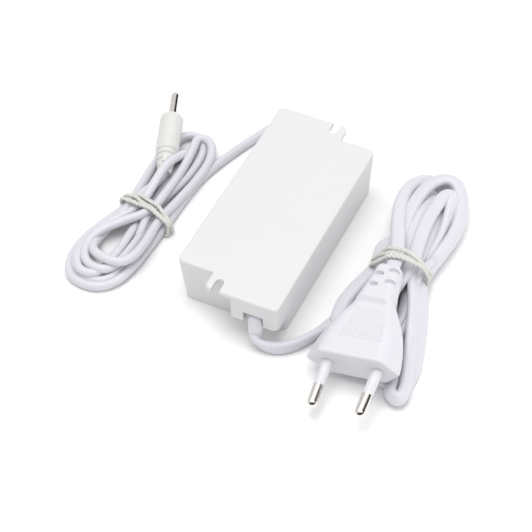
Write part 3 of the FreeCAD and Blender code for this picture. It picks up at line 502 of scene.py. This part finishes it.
def make_strain_relief(node, line, rolls, sign, section, end_height):
    """A tapered sleeve along the first stretch of a lead, with a flange inside the notch.

    The sign is -1 at the front end of the case and 1 at the back.
    """
    stop = next(index for index, point in enumerate(line) if point[2] < end_height * MM)
    start = line[0]
    root = [[start[0], sign * distance * MM, start[2]] for distance, _ in RELIEF_FLANGE]
    path = np.concatenate([root, line[:stop]])
    roll = np.concatenate([np.zeros(len(root)), rolls[:stop]])
    taper = np.linspace(1.0, RELIEF_TAPER, stop)
    taper[-1] = RELIEF_LIP
    sizes = np.concatenate([[size for _, size in RELIEF_FLANGE], taper])
    rings = rings_along(path, oval(*section, FLAT_SECTION_POINTS), roll, sizes)
    piece = skin("sleeve_" + node, rings)
    finish_piece(piece, CORD_WHITE)
    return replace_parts(piece, node)


# ---------------------------------------------------------------- mains plug

PLUG_PLACE = (Matrix.Translation((0.0523, -0.0518, 0.01135))
              @ Matrix.Rotation(math.radians(-8.6), 4, "Y")
              @ Matrix.Rotation(math.radians(7.8), 4, "X")
              @ Matrix.Rotation(math.radians(3.2), 4, "Z"))
PLUG_TAIL = 42.8
# Distance behind the pin face, then half width, half of the flat, top and underside, in mm.
PLUG_SHAPE = [
    (0.0, 17.65, 11.5, 6.85, 6.85), (4.0, 17.6, 11.5, 6.85, 6.85), (7.4, 16.9, 11.2, 6.85, 6.85),
    (11.5, 15.7, 10.6, 6.6, 6.7), (15.5, 14.1, 9.8, 6.2, 6.6), (19.5, 12.0, 8.6, 5.5, 6.4),
    (23.0, 9.8, 7.4, 4.8, 6.2), (24.4, 8.9, 6.9, 4.7, 6.1), (25.4, 8.2, 6.6, 5.3, 6.0),
    (26.6, 7.5, 6.2, 6.0, 5.9), (28.0, 6.9, 5.8, 6.0, 5.4), (33.0, 6.1, 5.0, 5.3, 4.6),
    (41.0, 5.0, 4.1, 4.2, 3.6), (42.2, 4.7, 3.8, 3.8, 3.3), (PLUG_TAIL, 4.2, 3.3, 3.3, 2.9),
]
# Stretches of the plug and the spacing of its outlines in each: from, to, step.
PLUG_ROWS = ((0.0, 1.0, 0.1), (1.0, 7.0, 0.5), (7.0, 22.0, 0.15), (22.0, 33.0, 0.3),
             (33.0, 41.0, 0.2), (41.0, PLUG_TAIL, 0.2))
PLUG_SIDE_POINTS = (14, 96, 14, 14, 24, 14)         # on each side of an outline, top second
PLUG_FACE_SHARES = (0.97, 0.8, 0.5, 0.2)            # how near the face's rings are to its middle
PLUG_EDGE_ROUND = 0.8
PLUG_CORNER_ROUND, PLUG_FLANK_ROUND = 1.1, 2.4      # at the face, and further back
PLUG_FLANK_FROM, PLUG_FLANK_TO = 0.5, 5.0
CORNER_SHARE = 0.3                                  # of a side, at most, that a corner takes
CORNER_STEPS = (0.0, 0.25, 0.5, 0.75)
CARVED_ABOVE = 0.6                                  # of the top's height
GRIP_RIBS = (7.6, 21.7)                             # from, to
RIB_LEFT, RIB_RIGHT = (-7.4, -5.5), (8.8, 7.1)      # where a rib ends, at the front and back
RIB_PITCH, RIB_DEPTH, RIB_FADE = 1.085, 0.26, 0.5
SLOT_LENGTH, SLOT_WIDTH, SLOT_DEPTH, SLOT_FLOOR = 4.4, 2.3, 1.7, 0.7
SLOT_ROWS = ((-2.7, 32.2), (3.1, 34.4), (-2.3, 37.6), (2.7, 39.9))


def rounded_outline(corners, counts, round_off):
    """Points round a polygon with eased corners, always the same number of them."""
    corners = np.asarray(corners)
    points = []
    for index, corner in enumerate(corners):
        before, after = corners[index - 1], corners[(index + 1) % len(corners)]
        into, out = corner - before, after - corner
        cut_in = min(round_off, np.linalg.norm(into) * CORNER_SHARE)
        cut_out = min(round_off, np.linalg.norm(out) * CORNER_SHARE)
        enter = corner - into / np.linalg.norm(into) * cut_in
        leave = corner + out / np.linalg.norm(out) * cut_out
        for share in CORNER_STEPS:
            points.append(mix(mix(enter, corner, share), mix(corner, leave, share), share))
        beyond = after - out / np.linalg.norm(out) * cut_out
        for share in np.arange(counts[index]) / counts[index]:
            points.append(mix(leave, beyond, share))
    return np.array(points)


def plug_carving(across, behind, top):
    """How deep the grip's ribs and the relief's slots are cut, at points on the plug."""
    first, last = GRIP_RIBS
    left, right = (mix(*ends, (behind - first) / (last - first)) for ends in (RIB_LEFT, RIB_RIGHT))
    ribs = 0.5 - 0.5 * np.cos(2 * math.pi * (behind - first) / RIB_PITCH)
    inside = (smooth_step(across, left, left + RIB_FADE)
              * (1 - smooth_step(across, right - RIB_FADE, right))
              * (behind > first) * (behind < last))
    depth = RIB_DEPTH * ribs * inside * top
    for x, y in SLOT_ROWS:
        reach = np.hypot((across - x) / (SLOT_LENGTH / 2), (behind - y) / (SLOT_WIDTH / 2))
        depth = np.maximum(depth, SLOT_DEPTH * (1 - smooth_step(reach, SLOT_FLOOR, 1.0)) * top)
    return depth


def make_mains_plug():
    """The six-sided body, ring by ring from the middle of its pin face to its tail."""
    shape = np.array(PLUG_SHAPE)
    rows = np.concatenate([np.arange(low, high, step) for low, high, step in PLUG_ROWS]
                          + [[PLUG_TAIL]])
    rings = []
    for behind in rows:
        wide, flat, top, under = (np.interp(behind, shape[:, 0], shape[:, column])
                                  for column in range(1, 5))
        shy = max(0.0, PLUG_EDGE_ROUND - behind)
        ease = PLUG_EDGE_ROUND - math.sqrt(PLUG_EDGE_ROUND ** 2 - shy ** 2)
        wide, flat, top, under = wide - ease, flat - ease / 2, top - ease, under - ease
        corners = [(wide, 0), (flat, top), (-flat, top), (-wide, 0), (-flat, -under),
                   (flat, -under)]
        backward = float(smooth_step(behind, PLUG_FLANK_FROM, PLUG_FLANK_TO))
        easing = mix(PLUG_CORNER_ROUND, PLUG_FLANK_ROUND, backward)
        outline = rounded_outline(corners, PLUG_SIDE_POINTS, easing)
        on_top = (outline[:, 1] > top * CARVED_ABOVE) * 1.0
        outline[:, 1] -= plug_carving(outline[:, 0], behind, on_top)
        rings.append([(x, behind, z) for x, z in outline])
    first, middle = np.array(rings[0]), np.zeros(3)
    face = [mix(first, middle, share) for share in PLUG_FACE_SHARES]
    rings = np.array(face + rings) * MM
    piece = skin("moulded_mains_plug", rings)
    piece.matrix_world = PLUG_PLACE
    finish_piece(piece, PLUG_WHITE)
    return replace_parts(piece, "mains_plug_body")


# ---------------------------------------------------------------- low-voltage plug

DC_PLUG_SHOULDER = Vector((-0.0642, 0.0354, 0.0093))
DC_PLUG_AXIS = Vector((-0.355, 0.928, 0.115))
# Distance behind the shoulder and radius, in mm.
DC_PLUG_PROFILE = [
    (0.0, 1.6), (0.0, 3.6), (0.15, 4.05), (0.5, 4.35), (1.1, 4.55), (2.0, 4.65), (17.6, 4.55),
    (17.9, 4.4), (18.1, 3.95), (18.5, 3.9), (18.7, 4.25), (19.0, 4.38), (19.8, 4.34),
    (20.2, 4.1), (20.4, 3.6), (20.9, 3.5), (21.1, 3.75), (21.4, 3.85), (27.9, 2.75),
    (28.4, 2.55), (28.5, 2.2),
]
DC_PROFILE_POINTS, DC_POINTS_AROUND = 190, 72
DC_SLOT_RINGS = ((22.9, 0.0), (24.8, 0.5), (26.7, 0.0))         # distance, turn in slot pitches
DC_SLOTS_AROUND = 4
DC_SLOT_HALF_WIDTH, DC_SLOT_DEPTH, DC_SLOT_SHARE = 0.55, 0.7, 0.66
DC_SLOT_FLOOR, DC_SLOT_END = 0.6, 0.08              # flat share of its width, and its eased end


def make_dc_plug():
    """The turned grip with its two rings, and rows of slots round the tapered relief."""
    profile = np.array(DC_PLUG_PROFILE)
    run = np.concatenate([[0], np.cumsum(np.linalg.norm(np.diff(profile, axis=0), axis=1))])
    steps = np.linspace(0, run[-1], DC_PROFILE_POINTS)
    behind = np.interp(steps, run, profile[:, 0])
    radius = np.interp(steps, run, profile[:, 1])
    turn = np.arange(DC_POINTS_AROUND) / DC_POINTS_AROUND
    rings = []
    for back, size in zip(behind, radius):
        depth = np.zeros(len(turn))
        for place, shift in DC_SLOT_RINGS:
            phase = np.abs((turn * DC_SLOTS_AROUND + shift) % 1 - 0.5) * 2
            sunk = 1 - smooth_step(abs(back - place), DC_SLOT_HALF_WIDTH * DC_SLOT_FLOOR,
                                   DC_SLOT_HALF_WIDTH)
            along = 1 - smooth_step(phase, DC_SLOT_SHARE - DC_SLOT_END, DC_SLOT_SHARE)
            depth = np.maximum(depth, DC_SLOT_DEPTH * sunk * along)
        angle = turn * 2 * math.pi
        reach = size - depth
        rings.append(np.stack([reach * np.cos(angle), reach * np.sin(angle),
                               np.full(len(turn), -back)], axis=1))
    piece = skin("moulded_dc_plug", np.array(rings) * MM)
    place = DC_PLUG_AXIS.to_track_quat("Z", "Y").to_matrix().to_4x4()
    place.translation = DC_PLUG_SHOULDER
    piece.matrix_world = place
    finish_piece(piece, DC_PLUG_WHITE)
    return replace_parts(piece, "dc_plug_body")


# ---------------------------------------------------------------- ties

# Circles (x, height, radius) that the band goes round, then its centre, slant and lean.
MAINS_TIE = ([(-9.4, 2.2, 1.2), (8.6, 2.6, 1.2), (8.4, 8.6, 1.9), (6.0, 13.4, 2.0),
              (0.8, 16.0, 2.4), (-2.8, 16.0, 2.4), (-8.8, 7.4, 2.0)], (49.6, 0.8, 1.2), 5.0, 13.5)
DC_TIE = ([(-10.8, 2.2, 1.2), (10.8, 2.2, 1.2), (10.2, 5.2, 1.6), (4.0, 7.4, 1.6),
           (-4.0, 7.0, 1.6), (-10.2, 3.8, 1.6)], (DC_WAIST_X, DC_WAIST_Y, 0.0), -15.8, 0.0)
WRAP_OFFSETS = (-1.4, 0.0, 1.4)
WRAP_SWAY, WRAP_WAVER = 0.7, 0.2   # how far a wrap strays sideways, slowly and quickly
WRAP_SHIFT = 2.1                   # how much later each wrap sways than the one before
BAND_CLEARANCE = 0.48              # from the circles to the middle of the strand
PLY_RADIUS, PLY_APART = 0.56, 0.34
PLY_FLATNESS = 0.55                # the plies lie flatter against the hank than across it
PLY_TWIST = 3.4                    # millimetres for one turn of the two plies
STRAND_POINTS, PLY_SECTION_POINTS, HULL_ANGLES = 420, 10, 720


def band_outline(circles, grow, count):
    """Evenly spaced points round the hull of some circles, grown outwards."""
    angles = np.linspace(0, 2 * math.pi, HULL_ANGLES, endpoint=False)
    normals = np.stack([np.cos(angles), np.sin(angles)], axis=1)
    circles = np.array(circles)
    reach = normals @ circles[:, :2].T + circles[:, 2]
    chosen = circles[reach.argmax(axis=1)]
    points = chosen[:, :2] + normals * (chosen[:, 2:] + grow)
    closed = np.vstack([points, points[:1]])
    run = np.concatenate([[0], np.cumsum(np.linalg.norm(np.diff(closed, axis=0), axis=1))])
    even = np.linspace(0, run[-1], count, endpoint=False)
    return np.stack([np.interp(even, run, closed[:, axis]) for axis in (0, 1)], axis=1), run[-1]


def make_tie(node, circles, centre, slant, lean):
    """Three wraps of a twisted two-ply strand round a hank."""
    section = oval(PLY_RADIUS * 2, PLY_RADIUS * 2, PLY_SECTION_POINTS)
    turn = (Matrix.Rotation(math.radians(slant), 4, "Z")
            @ Matrix.Rotation(math.radians(lean), 4, "X"))
    rings = []
    for wrap, offset in enumerate(WRAP_OFFSETS):
        outline, around = band_outline(circles, BAND_CLEARANCE, STRAND_POINTS)
        turns = round(around / PLY_TWIST)
        share = np.arange(STRAND_POINTS) / STRAND_POINTS * 2 * math.pi
        sway = (WRAP_SWAY * np.sin(2 * share + WRAP_SHIFT * wrap)
                + WRAP_WAVER * np.sin(5 * share + wrap))
        middle = outline.mean(axis=0)
        outward = outline - middle
        outward /= np.linalg.norm(outward, axis=1)[:, None]
        for ply in (0, math.pi):
            twist = turns * share + ply + wrap
            x, z = (outline[:, axis]
                    + PLY_APART * PLY_FLATNESS * np.cos(twist) * outward[:, axis]
                    for axis in (0, 1))
            y = offset + sway + PLY_APART * np.sin(twist)
            line = np.stack([x, y, z], axis=1) * MM
            rings.append(closed_rings(line, section, middle * MM))
    piece = merge_closed("band_" + node, rings)
    piece.matrix_world = Matrix.Translation(Vector(centre) * MM) @ turn
    finish_piece(piece, TIE_CREAM)
    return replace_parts(piece, node)


# ---------------------------------------------------------------- floor and light

FLOOR_REACH = 2.5                  # from the middle to each side
PAPER, DARK_CLOTH = (0.9, 0.9, 0.9), (0.03, 0.028, 0.026)
CARD_RADIUS, CARD_HEIGHT = 0.85, 0.8
CARD_ANGLES = (-115, 90, 5)        # degrees: from, to, step
WORLD_STRENGTH = 0.73
# Place, size across and energy.
KEY_LIGHT = ((-0.05, 0.0, 1.1), 0.9, 7.4)
FILL_LIGHT = ((0.9, -0.05, 0.45), 0.8, 2.4)


def make_floor():
    work = bmesh.new()
    bmesh.ops.create_grid(work, x_segments=4, y_segments=4, size=FLOOR_REACH)
    mesh = bpy.data.meshes.new("floor")
    work.to_mesh(mesh)
    work.free()
    floor = bpy.data.objects.new("floor", mesh)
    bpy.context.scene.collection.objects.link(floor)
    floor.data.materials.append(moulded("paper", PAPER, 0.8, 0.004, 20, 600, 0.00001,
                                        specular=0.1))


def make_light(name, place, size, energy):
    """A round soft light that faces the middle of the floor."""
    data = bpy.data.lights.new(name, "AREA")
    data.shape = "DISK"
    data.size = size
    data.energy = energy
    light = bpy.data.objects.new(name, data)
    light.location = place
    light.rotation_mode = "QUATERNION"
    light.rotation_quaternion = (-Vector(place)).to_track_quat("-Z", "Y")
    bpy.context.scene.collection.objects.link(light)


def make_dark_card():
    """A curved dark card to the right and in front that only polished surfaces mirror."""
    work = bmesh.new()
    bend = [math.radians(angle) for angle in range(*CARD_ANGLES)]
    foot, head = ([work.verts.new((CARD_RADIUS * math.cos(angle), CARD_RADIUS * math.sin(angle),
                                   height)) for angle in bend] for height in (0.0, CARD_HEIGHT))
    for index in range(len(bend) - 1):
        work.faces.new((foot[index], foot[index + 1], head[index + 1], head[index]))
    mesh = bpy.data.meshes.new("dark_card")
    work.to_mesh(mesh)
    work.free()
    card = bpy.data.objects.new("dark_card", mesh)
    bpy.context.scene.collection.objects.link(card)
    card.data.materials.append(moulded("dark_cloth", DARK_CLOTH, 0.9, 0.1, 8, 400, 0.0001,
                                       specular=0.0))
    card.visible_camera = False
    card.visible_diffuse = False
    card.visible_shadow = False
    card.visible_transmission = False


def light_scene():
    """An even white surround, a broad soft light overhead and a weaker one from the right."""
    world = bpy.data.worlds.new("studio")
    world.use_nodes = True
    world.node_tree.nodes["Background"].inputs["Color"].default_value = (1, 1, 1, 1)
    world.node_tree.nodes["Background"].inputs["Strength"].default_value = WORLD_STRENGTH
    bpy.context.scene.world = world
    make_light("key", *KEY_LIGHT)
    make_light("fill", *FILL_LIGHT)
    bpy.context.scene.view_settings.view_transform = "Standard"


# ---------------------------------------------------------------- build

make_camera()
mains, mains_line, mains_rolls, dc, dc_line = make_cords()
mains_plug = make_mains_plug()
dc_plug = make_dc_plug()
make_strain_relief("mains_strain_relief", mains_line, mains_rolls, -1, MAINS_RELIEF_SECTION,
                   MAINS_RELIEF_END)
make_strain_relief("dc_strain_relief", dc_line, np.zeros(len(dc_line)), 1, DC_RELIEF_SECTION,
                   DC_RELIEF_END)
mains_tie = make_tie("mains_hank_tie", *MAINS_TIE)
dc_tie = make_tie("dc_hank_tie", *DC_TIE)
dress_nodes()
make_floor()
make_dark_card()
light_scene()
